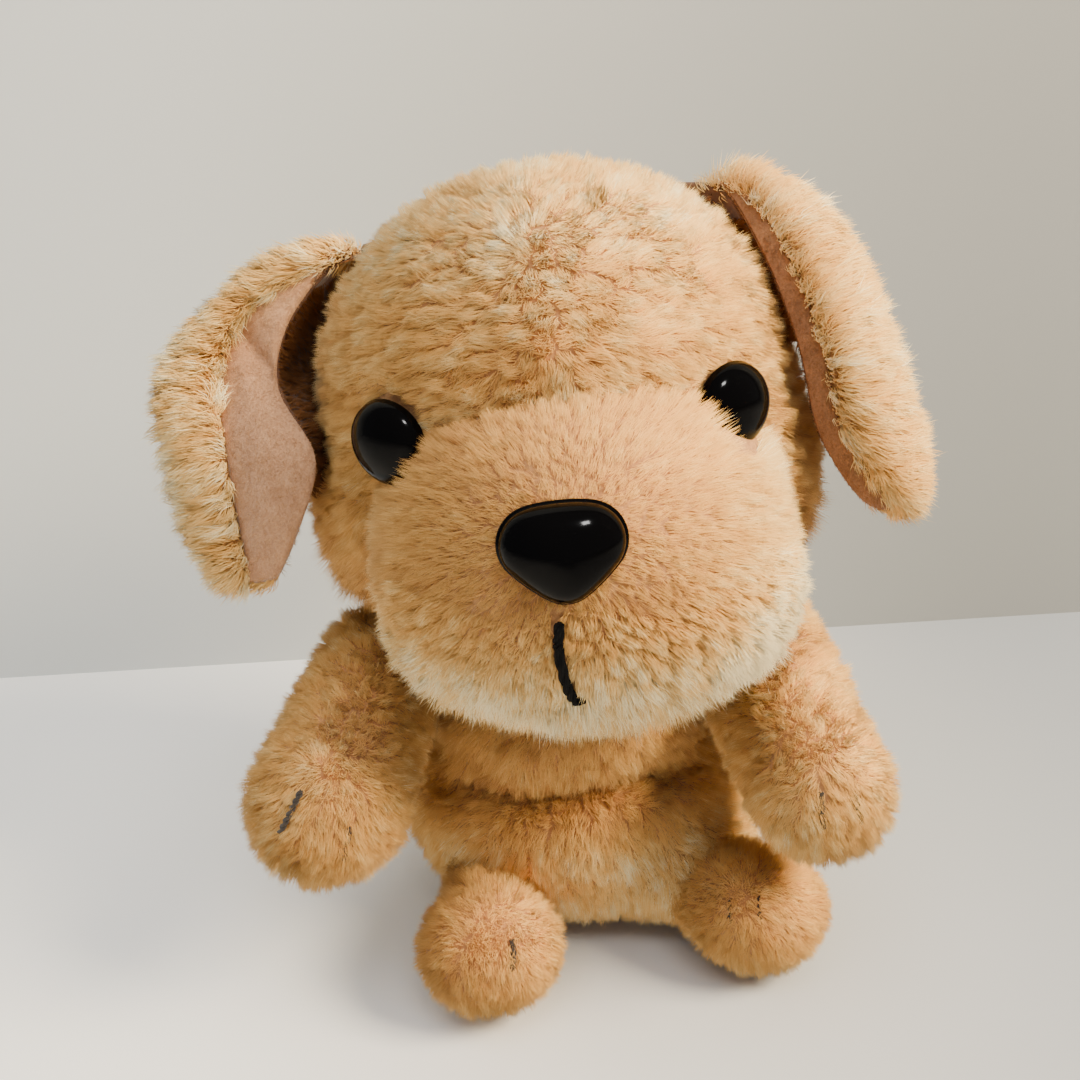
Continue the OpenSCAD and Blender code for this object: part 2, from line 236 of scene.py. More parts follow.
def neck_f(p):
    q = (p - np.array([0, 3, 65.5])) / np.array([23.5, 21.5, 8.5])
    return (np.linalg.norm(q, axis=-1) - 1) * 9


# ---------------- meshes

def sphere_grid(n):
    """Directions and triangles of a sphere made from a cube's six faces."""
    t = np.tan(np.linspace(-math.pi / 4, math.pi / 4, n + 1))
    verts, tris, seen = [], [], {}
    for axis in range(3):
        for s in (-1, 1):
            index = np.zeros((n + 1, n + 1), int)
            for i in range(n + 1):
                for j in range(n + 1):
                    v = [0, 0, 0]
                    v[axis], v[(axis + 1) % 3], v[(axis + 2) % 3] = s, t[i], t[j]
                    key = tuple(round(x, 5) for x in v)
                    if key not in seen:
                        seen[key] = len(verts)
                        verts.append(v)
                    index[i, j] = seen[key]
            a, b = index[:-1, :-1].ravel(), index[1:, :-1].ravel()
            c, d = index[1:, 1:].ravel(), index[:-1, 1:].ravel()
            quad = (a, b, c, d) if s > 0 else (a, d, c, b)
            tris.append(np.stack([quad[0], quad[1], quad[2]], -1))
            tris.append(np.stack([quad[0], quad[2], quad[3]], -1))
    return unit(np.array(verts, float)), np.concatenate(tris)


def bisect(inside, lo, hi, steps):
    """The place between lo, where inside holds, and hi, where it doesn't."""
    for _ in range(steps):
        mid = (lo + hi) / 2
        if inside(mid):
            lo = mid
        else:
            hi = mid
    return lo


def grid_quads(idx):
    """The four-sided faces between neighbours in a grid of vertex numbers."""
    a, b, c, d = idx[:-1, :-1], idx[:-1, 1:], idx[1:, 1:], idx[1:, :-1]
    return np.stack([a.ravel(), b.ravel(), c.ravel(), d.ravel()], -1)


def halves(quads):
    """Each four-sided face as two triangles."""
    return np.concatenate([quads[:, [0, 1, 2]], quads[:, [0, 2, 3]]])


def ring_faces(steps, rings):
    """Faces of a closed shape: a tip, then rings of vertices, then a tip."""
    faces = []
    last = 1 + (rings - 1) * steps
    for k in range(steps):
        m = (k + 1) % steps
        faces.append((0, 1 + k, 1 + m))
        for o in range(1, last, steps):
            faces.append((o + k, o + steps + k, o + steps + m, o + m))
        faces.append((last + k, last + steps, last + m))
    return faces


REACH = 80.0        # mm, farther than any surface lies from its centre


def star(f, centre, n, inset=0.0, wrinkle=0.0, seed=0):
    """The surface f = -inset seen from centre, as vertices and triangles."""
    d, tris = sphere_grid(n)
    centre = np.array(centre, float)
    lo, hi = np.zeros(len(d)), np.full(len(d), REACH)
    for _ in range(26):
        mid = (lo + hi) / 2
        inside = f(centre + mid[:, None] * d) < -inset
        lo, hi = np.where(inside, mid, lo), np.where(inside, hi, mid)
    v = centre + lo[:, None] * d
    if wrinkle:
        v = v + wrinkle * d * (0.65 * noise(v, 11, seed) + 0.35 * noise(v, 5, seed + 5))[:, None]
    return v, tris


def cut(v, tris, g):
    """The part of a triangle mesh where g is positive, cut cleanly along g = 0."""
    val = g(v)
    pos = val > 0
    count = pos[tris].sum(1)
    keep = [tuple(t) for t in tris[count == 3]]
    verts = [tuple(x) for x in v]
    made = {}

    def crossing(a, b):
        key = (min(a, b), max(a, b))
        if key not in made:
            t = val[a] / (val[a] - val[b])
            made[key] = len(verts)
            verts.append(tuple(v[a] + (v[b] - v[a]) * t))
        return made[key]

    for t in tris[(count == 1) | (count == 2)]:
        ring = []
        for k in range(3):
            a, b = int(t[k]), int(t[(k + 1) % 3])
            if pos[a]:
                ring.append(a)
            if pos[a] != pos[b]:
                ring.append(crossing(a, b))
        for k in range(1, len(ring) - 1):
            keep.append((ring[0], ring[k], ring[k + 1]))
    keep = np.array(keep, int)
    used, inverse = np.unique(keep, return_inverse=True)
    return np.array(verts)[used], inverse.reshape(-1, 3)


def make_mesh(name, v, faces, mats, smooth=True):
    me = bpy.data.meshes.new(name)
    me.from_pydata((np.asarray(v) * MM).tolist(), [], [list(map(int, f)) for f in faces])
    me.validate()
    for m in mats:
        me.materials.append(m)
    if smooth:
        me.shade_smooth()
    ob = bpy.data.objects.new(name, me)
    bpy.context.scene.collection.objects.link(ob)
    return ob


def thicken(ob, t):
    m = ob.modifiers.new("thickness", "SOLIDIFY")
    m.thickness = t * MM
    m.offset = -1
    m.use_rim = True
    bpy.context.view_layer.update()
    me = bpy.data.meshes.new_from_object(ob.evaluated_get(bpy.context.evaluated_depsgraph_get()))
    me.name = ob.name
    ob.modifiers.clear()
    ob.data = me


def vertex_normals(v, tris):
    n = np.zeros_like(v)
    fn = np.cross(v[tris[:, 1]] - v[tris[:, 0]], v[tris[:, 2]] - v[tris[:, 0]])
    for k in range(3):
        np.add.at(n, tris[:, k], fn)
    return unit(n)


# ---------------- materials

def srgb(*rgb):
    linear = [((c / 255 + 0.055) / 1.055) ** 2.4 if c > 10 else c / 255 / 12.92 for c in rgb]
    return (*linear, 1.0)


def principled(name):
    m = bpy.data.materials.new(name)
    m.use_nodes = True
    return m, m.node_tree, m.node_tree.nodes["Principled BSDF"]


def tune(node, **inputs):
    """Sets inputs of a node by name, with _ for a space."""
    for key, value in inputs.items():
        node.inputs[key.replace("_", " ")].default_value = value
    return node


def add(nt, kind, **inputs):
    """A new shader node with some of its inputs set."""
    return tune(nt.nodes.new("ShaderNode" + kind), **inputs)


def add_ramp(nt, first, last):
    ramp = add(nt, "ValToRGB")
    ramp.color_ramp.elements[0].color = first
    ramp.color_ramp.elements[1].color = last
    return ramp


def add_math(nt, operation, factor=0.5):
    made = add(nt, "Math")
    made.operation = operation
    made.inputs[1].default_value = factor
    return made


def cloth(name, dark, light, scale, rough, bump, weave=0.0, sheen=0.3):
    """Woven or brushed cloth: two tones mixed by noise, with a fine bump."""
    m, nt, p = principled(name)
    link = nt.links.new
    co = add(nt, "TexCoord")
    fine = add(nt, "TexNoise", Scale=scale, Detail=6)
    broad = add(nt, "TexNoise", Scale=scale / 9, Detail=3)
    both = add_math(nt, "MULTIPLY_ADD", 0.55)
    half = add_math(nt, "MULTIPLY", 0.45)
    link(co.outputs["Object"], fine.inputs["Vector"])
    link(co.outputs["Object"], broad.inputs["Vector"])
    link(fine.outputs["Fac"], both.inputs[0])
    link(broad.outputs["Fac"], half.inputs[0])
    link(half.outputs[0], both.inputs[2])
    ramp = add_ramp(nt, dark, light)
    ramp.color_ramp.elements[0].position = 0.36
    ramp.color_ramp.elements[1].position = 0.64
    link(both.outputs[0], ramp.inputs["Fac"])
    link(ramp.outputs["Color"], p.inputs["Base Color"])
    height = both.outputs[0]
    if weave:
        wave = add(nt, "TexWave", Scale=weave, Distortion=1.5)
        link(co.outputs["Object"], wave.inputs["Vector"])
        total = add_math(nt, "ADD")
        link(height, total.inputs[0])
        link(wave.outputs["Fac"], total.inputs[1])
        height = total.outputs[0]
    b = add(nt, "Bump", Strength=bump, Distance=0.0004)
    link(height, b.inputs["Height"])
    link(b.outputs["Normal"], p.inputs["Normal"])
    tune(p, Roughness=rough, Sheen_Weight=sheen, Sheen_Roughness=0.5)
    return m


def plastic(name, colour, scale, detail, low, high):
    """Moulded plastic: one colour, with a roughness that varies from low to high."""
    m, nt, p = principled(name)
    co = add(nt, "TexCoord")
    n = add(nt, "TexNoise", Scale=scale, Detail=detail)
    r = add(nt, "MapRange", To_Min=low, To_Max=high)
    nt.links.new(co.outputs["Object"], n.inputs["Vector"])
    nt.links.new(n.outputs["Fac"], r.inputs["Value"])
    nt.links.new(r.outputs["Result"], p.inputs["Roughness"])
    tune(p, Base_Color=colour)
    return m


def specular(material, level):
    tune(material.node_tree.nodes["Principled BSDF"], Specular_IOR_Level=level)


def pile_tone(name, colour, sheen):
    m, _, p = principled(name)
    tune(p, Base_Color=colour, Roughness=0.72, Specular_IOR_Level=0.12,
         Sheen_Weight=sheen, Sheen_Roughness=0.4, Sheen_Tint=(1.0, 0.83, 0.56, 1))
    return m


# dark backing for the ears' folds: painted shade in the gap between ear and head
BACKING_PAINTED_SHADE = cloth("plush_backing_painted_shade", srgb(70, 44, 24), srgb(98, 62, 36), 1400, 0.95, 0.35)
BACKING = cloth("plush_backing", srgb(150, 100, 58), srgb(196, 146, 96), 1400, 0.95, 0.35)
VELOUR_SHADE_PAINTED_LEFT = {
    side: cloth(f"ear_velour_{side}", dark, light, 2600, 0.9, 0.5, sheen=sheen)
    for side, dark, light, sheen in (
        # the left lining is a darker copy of the right one, with less sheen: painted shade
        ("left", srgb(120, 80, 48), srgb(150, 104, 66), 0.2),
        ("right", srgb(168, 120, 84), srgb(198, 150, 110), 0.5),
    )
}
WADDING = cloth("wadding", srgb(226, 224, 218), srgb(248, 247, 243), 420, 0.95, 0.7)
PELLETS = cloth("pellet_cloth", srgb(196, 186, 166), srgb(222, 214, 196), 500, 0.85, 0.5, weave=900)
THREAD = cloth("black_thread", srgb(4, 4, 4), srgb(12, 11, 10), 3000, 0.8, 0.5, weave=1600, sheen=0.0)
specular(THREAD, 0.12)
THREAD_BROWN = cloth("brown_thread", srgb(34, 28, 24), srgb(62, 52, 42), 3000, 0.7, 0.5,
                     weave=1600, sheen=0.2)
GLOSS = plastic("eye_plastic", (0.0012, 0.0011, 0.0013, 1), 260, 5, 0.07, 0.15)
specular(GLOSS, 0.07)
WASHER = plastic("washer_plastic", srgb(236, 232, 218), 700, 2, 0.35, 0.55)
TONES = [pile_tone(f"pile_{name}", srgb(*rgb), sheen) for name, rgb, sheen in (
    ("root", (164, 110, 60), 0.05),
    ("deep", (198, 143, 84), 0.12),
    ("tan", (222, 166, 96), 0.16),
    ("gold", (232, 177, 101), 0.18),
    ("light", (242, 194, 120), 0.2),
    ("cream", (250, 214, 146), 0.24),
    ("pale", (255, 236, 190), 0.3),
)]
# dark pile for the ears' folds: painted shade in the gap between ear and head
PILE_PAINTED_SHADE = [pile_tone("pile_painted_shade", srgb(112, 72, 38), 0.0)]
NAP_SHADE_PAINTED_LEFT = {
    side: [pile_tone(f"nap_{side}_{name}", srgb(*rgb), sheen) for name, rgb, sheen in tones]
    for side, tones in (
        # the left nap is a darker copy of the right one: painted shade
        ("left", (("deep", (118, 78, 46), 0.05), ("mid", (140, 96, 60), 0.05), ("light", (160, 114, 74), 0.1))),
        ("right", (("deep", (174, 124, 84), 0.1), ("mid", (200, 150, 108), 0.15),
                   ("light", (218, 174, 132), 0.2))),
    )
}

# ---------------- pile

def scatter(v, tris, density, keep=None):
    """Seeded random points on a mesh, with the mesh's smooth normals there."""
    n = vertex_normals(v, tris)
    a, b, c = v[tris[:, 0]], v[tris[:, 1]], v[tris[:, 2]]
    area = np.linalg.norm(np.cross(b - a, c - a), axis=1) / 2
    total = int(area.sum() * density * PILE)
    which = rng.choice(len(tris), total, p=area / area.sum())
    r1, r2 = np.sqrt(rng.random(total)), rng.random(total)
    w = np.stack([1 - r1, r1 * (1 - r2), r1 * r2], -1)[:, :, None]
    p = (v[tris[which]] * w).sum(1)
    nn = unit((n[tris[which]] * w).sum(1))
    if keep is not None:
        ok = keep(p, nn)
        p, nn = p[ok], nn[ok]
    return p, nn


SOFT = 0.8                  # how much a strand is shaded as the cloth under it
SPREAD = 0.45               # and how much as the strand's own round side
PIECE_FACES = 190000        # the most triangles that one piece of pile holds
STRAIGHT_FACES = 3          # triangles in a straight strand
BENT_FACES = 9              # and in a curved one


def strands(name, p, n, comb, length, tone, tones=TONES, width=0.21, lift=0.6, ruffle=0.35, tuft=2.4,
            gather=0.45, seed=0, bend=0.0, peak=1.0):
    """Pile as thin three-sided spikes, which lean the way they are combed."""
    count = len(p)
    comb = np.broadcast_to(np.array(comb, float), p.shape)
    length, lift, tone = (np.broadcast_to(np.array(q, float), (count,)) for q in (length, lift, tone))
    centre, own = tuft_centre(p, tuft, seed + 50)
    comb = comb + ruffle * (0.9 * noise3(p, 7, seed + 20) + 1.1 * noise3(centre, 1.7, seed + 30))
    lock, locks_own = tuft_centre(p, tuft * 2.7, seed + 90)
    comb = comb + ruffle * 0.7 * noise3(lock, 1.7, seed + 40)
    flat = comb - (comb * n).sum(1, keepdims=True) * n
    middle = np.exp(-((p - centre) ** 2).sum(1) / (0.42 * tuft) ** 2)
    vary = rng.random(count)
    length = length * (0.72 + 0.3 * vary + peak * 0.3 * middle) * (0.86 + 0.16 * own + 0.12 * locks_own)
    axis = unit(n * lift[:, None] + flat * 0.8 + 0.16 * rng.standard_normal((count, 3)))
    root = p - 0.2 * n
    tip = root + axis * length[:, None]
    # strands of one tuft lean together
    goal = centre + (tip - p) * 0.5 + n * (length * 0.45)[:, None]
    away = goal - tip
    away = away * np.minimum(1, 1.6 / np.maximum(np.linalg.norm(away, axis=1), 1e-6))[:, None]
    tip = tip + gather * away
    axis = unit(tip - root)
    side = unit(np.cross(axis, n) + 1e-6)
    face = np.cross(axis, side)
    turn = rng.uniform(0, 2 * math.pi, count)
    w = (width * (0.75 + 0.5 * rng.random(count)))[:, None] * 0.56
    verts = np.empty((count, 4, 3))
    vn = np.empty((count, 4, 3))
    for k in range(3):
        a = (turn + k * 2 * math.pi / 3)[:, None]
        out = side * np.cos(a) + face * np.sin(a)
        verts[:, k] = root + out * w
        vn[:, k] = unit(n * SOFT + out * SPREAD)
    verts[:, 3] = tip
    vn[:, 3] = unit(n * SOFT + axis * 0.3)
    if bend:
        # a second ring half way up, pushed aside, so that the strand curves
        push = unit(np.cross(axis, side) + 0.5 * side * rng.standard_normal((count, 1)))
        push = push * np.sign((push * n).sum(1, keepdims=True) + 1e-9) * (bend * length)[:, None]
        ring = (verts[:, :3] - root[:, None]) * 0.85 + ((root + tip) * 0.5 + push)[:, None]
        verts = np.concatenate([verts[:, :3], ring, verts[:, 3:]], 1)
        vn = np.concatenate([vn[:, :3], unit(vn[:, :3] + 0.3 * vn[:, 3:]), vn[:, 3:]], 1)
        sides = [(0, 1, 4), (0, 4, 3), (1, 2, 5), (1, 5, 4), (2, 0, 3), (2, 3, 5),
                 (3, 4, 6), (4, 5, 6), (5, 3, 6)]
    else:
        sides = [(0, 1, 3), (1, 2, 3), (2, 0, 3)]
    each, around = verts.shape[1], len(sides)
    loops = (np.arange(count)[:, None] * each + np.array(sides).ravel()).astype(np.int32).ravel()
    me = bpy.data.meshes.new(name)
    me.vertices.add(count * each)
    me.vertices.foreach_set("co", (verts * MM).astype(np.float32).ravel())
    me.loops.add(count * around * 3)
    me.loops.foreach_set("vertex_index", loops)
    me.polygons.add(count * around)
    me.polygons.foreach_set("loop_start", np.arange(count * around, dtype=np.int32) * 3)
    # the long strands in the middle of a tuft are pale to their tips, the short ones between are darker: partly
    # the plush's darker undercoat, partly painted highlight on the tufts and painted shade between them
    level = tone + 0.4 * noise(p, 9, seed + 70) + 0.7 * (own - 0.5) + 2.0 * peak * (middle - 0.42)
    level = level + 1.3 * (vary - 0.5) + 0.8 * (locks_own - 0.5) + 0.3 * rng.standard_normal(count)
    index = np.clip(np.rint(level), 0, len(tones) - 1).astype(np.int32)
    me.polygons.foreach_set("material_index", np.repeat(index, around))
    me.polygons.foreach_set("use_smooth", np.ones(count * around, bool))
    for m in tones:
        me.materials.append(m)
    me.update(calc_edges=True)
    me.normals_split_custom_set_from_vertices(vn.reshape(-1, 3).astype(np.float32))
    ob = bpy.data.objects.new(name, me)
    bpy.context.scene.collection.objects.link(ob)
    return ob


def add_pile(name, body, slot_name, p, n, comb, length, tone, lift=0.6, seed=0, **kw):
    """Pile on a body, in as many pieces as its strands need."""
    faces = BENT_FACES if "bend" in kw else STRAIGHT_FACES
    count = -(-len(p) * faces // PIECE_FACES)
    order = np.argsort(p @ np.array([0.3, 0.2, 1.0]))
    values = [(v(p) if callable(v) else v) for v in (comb, length, tone, lift)]
    for part, k in enumerate(np.array_split(order, count)):
        own = [v[k] if np.ndim(v) and len(v) == len(p) else v for v in values]
        ob = strands(name if count == 1 else f"{name}_{part + 1}", p[k], n[k],
                     *own[:3], lift=own[3], seed=seed, **kw)
        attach(ob, body)


def stand_in(ob, body, nodes):
    """Puts a piece on its body, in place of its CAD nodes."""
    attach(ob, body)
    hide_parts(*nodes)
    return ob


CLOTH = 0.45        # mm, the thickness of the backing cloth


def skin(name, v, tris, body, slot_name, nodes):
    """A panel of backing cloth in place of its CAD solid."""
    ob = make_mesh(name, v, tris, [BACKING])
    thicken(ob, CLOTH)
    stand_in(ob, body, nodes)


def stuffing(name, f, centre, body, nodes, mat=WADDING, inset=3.6,
             floor=0.0, roof=math.inf, n=22, rough=0.9):
    """Lumpy filling in place of its CAD solid, flat at its floor and its roof."""
    v, t = star(f, centre, n, inset=inset, wrinkle=rough, seed=3)
    v[:, 2] = np.clip(v[:, 2], floor, roof)
    stand_in(make_mesh(name, v, t, [mat]), body, nodes)


INSET = 1.7      # how far the backing lies under the tips of the pile

# ---------------- head

hv, ht = star(head_f, (0, 0, 101), 52, inset=INSET, wrinkle=0.35, seed=11)
mv, mt = star(muzzle_f, (2, -22, 91), 46, inset=INSET, wrinkle=0.3, seed=12)


def out_of_muzzle(q):
    """How far q lies outside the muzzle's backing."""
    return muzzle_f(q) + INSET


def out_of_head(q):
    """How far q lies outside the head's backing."""
    return head_f(q) + INSET


head_open = cut(hv, ht, out_of_muzzle)
panels = {
    "left": cut(*head_open, lambda q: unlean(q)[:, 0] - SEAM_X - 0.02),
    "right": cut(*head_open, lambda q: SEAM_X - unlean(q)[:, 0]),
}
muzzle_open = cut(mv, mt, out_of_head)
CHIN_Z = 71
muzzle_part = cut(*muzzle_open, lambda q: unlean(q)[:, 2] - CHIN_Z - 0.1)
chin_part = cut(*muzzle_open, lambda q: CHIN_Z - unlean(q)[:, 2])

for side in SIDES:
    skin(f"head_{side}_skin", *panels[side], "head", "plush_tan", [f"head_{side}_panel"])
skin("muzzle_skin", *muzzle_part, "head", "plush_tan", ["muzzle_panel"])
skin("chin_skin", *chin_part, "head", "plush_cream", ["chin_panel"])
stuffing("head_wadding", lambda q: join(head_f(q), muzzle_f(q), 3), (0, -6, 98), "head",
         ["head_filling"], n=30)


def eye_place(side):
    s = SIGN[side]
    c = EYE * np.array([s, 1, 1])
    turn = s * EYE_TURN
    out = np.array([math.sin(turn), -math.cos(turn), 0.0])
    return lean(c), lean(c + out) - lean(c)


def off_eyes(p):
    """Clear of the eyes' domes."""
    ok = np.ones(len(p), bool)
    for side in SIDES:
        c, out = eye_place(side)
        q = p - c
        along = q @ out
        ok &= (np.linalg.norm(q - along[:, None] * out, axis=1) > EYE_R + 0.2) | (along < -8)
    return ok


nose_c = lean(NOSE)
nose_out = lean(NOSE + np.array([0, -math.cos(NOSE_LIFT), math.sin(NOSE_LIFT)])) - nose_c


def head_comb(p):
    q = unlean(p)
    x = q[:, 0] - SEAM_X
    part = np.tanh(x / 5)
    sideways = np.stack([part * np.exp(-np.abs(x) / 22) * 0.9, np.zeros(len(p)), np.zeros(len(p))], -1)
    down = np.stack([0.1 * part, 0.25 + 0 * x, -0.8 + 0 * x], -1)
    top = smoothstep(112, 140, q[:, 2])
    front = smoothstep(0, -25, q[:, 1])
    forward = np.stack([0 * x, -0.5 * front, -0.35 * front], -1)
    return sideways + down * (1 - 0.6 * top)[:, None] * 0.8 + forward * top[:, None]


def head_tone_painted_light(p):
    q = unlean(p)
    # lighter towards the top, along the parting near the top and just above the muzzle's seam: painted
    # highlight; darker low on the head: painted shade
    t = 3.1 + 1.5 * smoothstep(122, 140, q[:, 2]) + 0.5 * noise(p, 6, 77)
    t = t - 0.9 * smoothstep(104, 90, q[:, 2])
    t = t + 0.6 * np.exp(-((q[:, 0] - SEAM_X) / 5) ** 2) * smoothstep(118, 125, q[:, 2])
    return t + 1.6 * np.exp(-(out_of_muzzle(p) / 2.6) ** 2) * smoothstep(105, 112, q[:, 2])


def head_len(p):
    q = unlean(p)
    near_eye = np.minimum(*[np.linalg.norm(p - eye_place(s)[0], axis=1) for s in SIDES])
    grow = 3.2 - 0.6 * smoothstep(126, 142, q[:, 2])
    grow = grow + 4.2 * smoothstep(90, 78, q[:, 2]) * smoothstep(26, 36, np.abs(q[:, 0]))
    seam = 1 - 0.45 * np.exp(-(out_of_muzzle(p) / 1.4) ** 2)
    return grow * seam * (0.6 + 0.4 * smoothstep(7, 12, near_eye))


for side in SIDES:
    for part, dense, ok in (
        ("front", 20, lambda q, m: off_eyes(q) & (q[:, 2] > 66) & (q[:, 1] <= 0)),
        ("back", 9.0, lambda q, m: (q[:, 2] > 66) & (q[:, 1] > 0)),
    ):
        p, n = scatter(*panels[side], dense, keep=ok)
        add_pile(f"head_{side}_{part}_pile", "head", "plush_tan", p, n, head_comb, head_len, head_tone_painted_light,
                 width={"front": 0.13, "back": 0.2}[part], lift=0.7, ruffle=0.6, tuft=2.8,
                 gather=0.55, seed=100)

nose_seen = nose_c + nose_out * 2


def muzzle_comb(p):
    away = p - nose_seen
    return unit(away) * 0.85 + np.array([0, 0, -0.12])


def muzzle_tone_painted_light(p):
    q = unlean(p)
    edge = np.exp(-(out_of_head(p) / 3.0) ** 2) * smoothstep(104, 96, q[:, 2])
    side_on = np.abs(q[:, 0] - 2)
    # lighter low on the muzzle and at its far sides; lighter on the side towards the window and along the edge
    # by the head: painted highlight
    return (2.5 + 2.1 * smoothstep(90, 74, q[:, 2]) + 1.6 * smoothstep(12, 28, q[:, 0] - 2)
            + 0.3 * smoothstep(22, 34, side_on) + 1.2 * edge)


def muzzle_len(p):
    q = unlean(p)
    r = np.linalg.norm(p - nose_seen, axis=1)
    seam = 1 - 0.4 * np.exp(-(out_of_head(p) / 1.4) ** 2)
    return (1.9 + 1.9 * smoothstep(10, 34, r) + 1.9 * smoothstep(84, 69, q[:, 2])) * seam


def nose_ring(steps=96):
    """A soft rounded triangle, wide at the top: the outline that touches three circles."""
    circles = [(3.7, 1.3, 5.5), (-3.7, 1.3, 5.5), (0, -2.7, 4.9), (0, 2.0, 5.0)]
    a = np.linspace(0, 2 * math.pi, 721)[:-1]
    d = np.stack([np.cos(a), np.sin(a)], -1)
    reach = np.array([d @ np.array([x, y]) + r for x, y, r in circles])
    h = np.log(np.exp(reach * 4).sum(0)) / 4
    slope = np.gradient(np.r_[h[-2:], h, h[:2]])[2:-2] / (a[1] - a[0])
    pts = d * h[:, None] + np.stack([-d[:, 1], d[:, 0]], -1) * slope[:, None]
    closed = np.concatenate([pts, pts[:1]])
    step = np.r_[0, np.cumsum(np.linalg.norm(np.diff(closed, axis=0), axis=1))]
    s = np.linspace(0, step[-1], steps, endpoint=False)
    return np.stack([np.interp(s, step, closed[:, 0]), np.interp(s, step, closed[:, 1])], -1)


ring0 = nose_ring()
ring0 = ring0 * (9.2 / np.abs(ring0[:, 0]).max())
ring_turn = np.arctan2(ring0[:, 1], ring0[:, 0])
ring_sort = np.argsort(ring_turn)
ring_turn, ring_reach = ring_turn[ring_sort], np.linalg.norm(ring0, axis=1)[ring_sort]


def off_nose(p):
    """Outside the nose's rounded triangle, but for a lip that the pile runs under."""
    q = unlean(p) - NOSE
    x, z = q[:, 0], q @ np.array([0, math.sin(NOSE_LIFT), math.cos(NOSE_LIFT)])
    edge = np.interp(np.arctan2(z, x), ring_turn, ring_reach, period=2 * math.pi)
    return (np.hypot(x, z) > edge - 0.4) | (q[:, 1] > 14)


MOUTH = [(-2.9, 90.3), (-3.5, 87), (-3.4, 83), (-3.0, 79.5), (-2.5, 76.8), (-1.7, 75.4), (-0.8, 76)]


def off_mouth(p):
    """Clear of the stitched line, where the thread pulls the pile down."""
    q = unlean(p)
    up = np.array(MOUTH)[-2::-1]
    beside = np.abs(q[:, 0] - np.interp(q[:, 2], up[:, 1], up[:, 0]))
    return (beside > 0.9) | (q[:, 2] > 90.5) | (q[:, 2] < 75) | (q[:, 1] > -30)


JOWL_Z = 89     # below here the muzzle's pile is longer and hangs in locks
p, n = scatter(*muzzle_part, 20, keep=lambda q, m: off_eyes(q) & off_nose(q) & off_mouth(q))
low = unlean(p)[:, 2] + 2.5 * noise(p, 6, 23) < JOWL_Z
add_pile("muzzle_pile", "head", "plush_tan", p[~low], n[~low], muzzle_comb, muzzle_len, muzzle_tone_painted_light,
         width=0.12, lift=0.55, ruffle=0.28, tuft=1.9, gather=0.5, peak=0.7, seed=200)
add_pile("jowl_pile", "head", "plush_tan", p[low], n[low], muzzle_comb, muzzle_len,
         lambda q: muzzle_tone_painted_light(q) + 0.3 + 0.6 * smoothstep(86, 78, q[:, 2]), width=0.14,
         lift=0.55, ruffle=0.42, tuft=2.3, gather=0.65, peak=1.05, bend=0.1, seed=220)
p, n = scatter(*chin_part, 13, keep=lambda q, m: q[:, 2] > 55)
add_pile("chin_pile", "head", "plush_cream", p, n, muzzle_comb, muzzle_len, 4.6,
         lift=0.5, ruffle=0.3, seed=210)

# ---------------- torso

tv, tt = star(torso_f, (0, 3, 32), 50, inset=INSET, wrinkle=0.5, seed=13)
bottom = cut(tv, tt, lambda q: 4.2 - q[:, 2])
wall = cut(tv, tt, lambda q: q[:, 2] - 4.2)
front = cut(*wall, lambda q: 3 - q[:, 1])
back = cut(*wall, lambda q: q[:, 1] - 3.05)
skin("torso_front_skin", *front, "torso", "plush_tan", ["torso_front_panel"])
skin("torso_back_skin", *back, "torso", "plush_tan", ["torso_back_panel"])
skin("bottom_skin", *bottom, "torso", "plush_tan", ["bottom_panel"])
stuffing("torso_wadding", torso_f, (0, 3, 40), "torso", ["torso_filling"], floor=18.6)
stuffing("pellet_pouch", torso_f, (0, 3, 10), "torso", ["pellet_bag"], PELLETS,
         floor=3.2, roof=17.8, rough=0.35)


def torso_comb(p):
    return np.stack([p[:, 0] * 0.012, p[:, 1] * 0.004, -0.9 + 0 * p[:, 0]], -1)


def torso_tone_painted_shade(p):
    fold = np.exp(-((p[:, 2] - 35.5) / 3) ** 2) * smoothstep(-4, -16, p[:, 1])
    low = smoothstep(32, 22, p[:, 2]) * smoothstep(0, -20, p[:, 1])
    # darker along the belly's fold and high up under the head: painted shade; lighter low on the front
    return 2.7 - 0.9 * fold - 0.5 * smoothstep(50, 60, p[:, 2]) + 2.0 * low


def torso_len(p):
    return 3.2 - 1.3 * smoothstep(7, 1, p[:, 2])


for name, part in (("front", front), ("back", back)):
    p, n = scatter(*part, {"front": 15, "back": 8}[name], keep=lambda q, m: (q[:, 2] < 64) & (q[:, 2] > 1.5))
    add_pile(f"torso_{name}_pile", "torso", "plush_tan", p, n, torso_comb, torso_len, torso_tone_painted_shade, width=0.14,
             lift=0.7, ruffle=0.5, gather=0.5, seed=300)
p, n = scatter(*bottom, 5)
add_pile("bottom_pile", "torso", "plush_tan", p, n, lambda q: q - np.array([0, 3, 2.0]), 1.1, 2.2,
         lift=0.12, ruffle=0.5, gather=0.2, seed=330)

# ---------------- neck

v, t = star(neck_f, (0, 3, 65.5), 26, inset=1.0)
stand_in(make_mesh("neck_skin", v, t, [BACKING]), "neck", ["neck_filling"])
p, n = scatter(v, t, 5, keep=lambda q, m: np.abs(m[:, 2]) < 0.9)
add_pile("neck_pile", "neck", "plush_tan", p, n, (0, 0, -0.8), 3.4, 2.2, seed=340)

# ---------------- arms, legs and tail

LIMB_INSET = INSET + 0.4


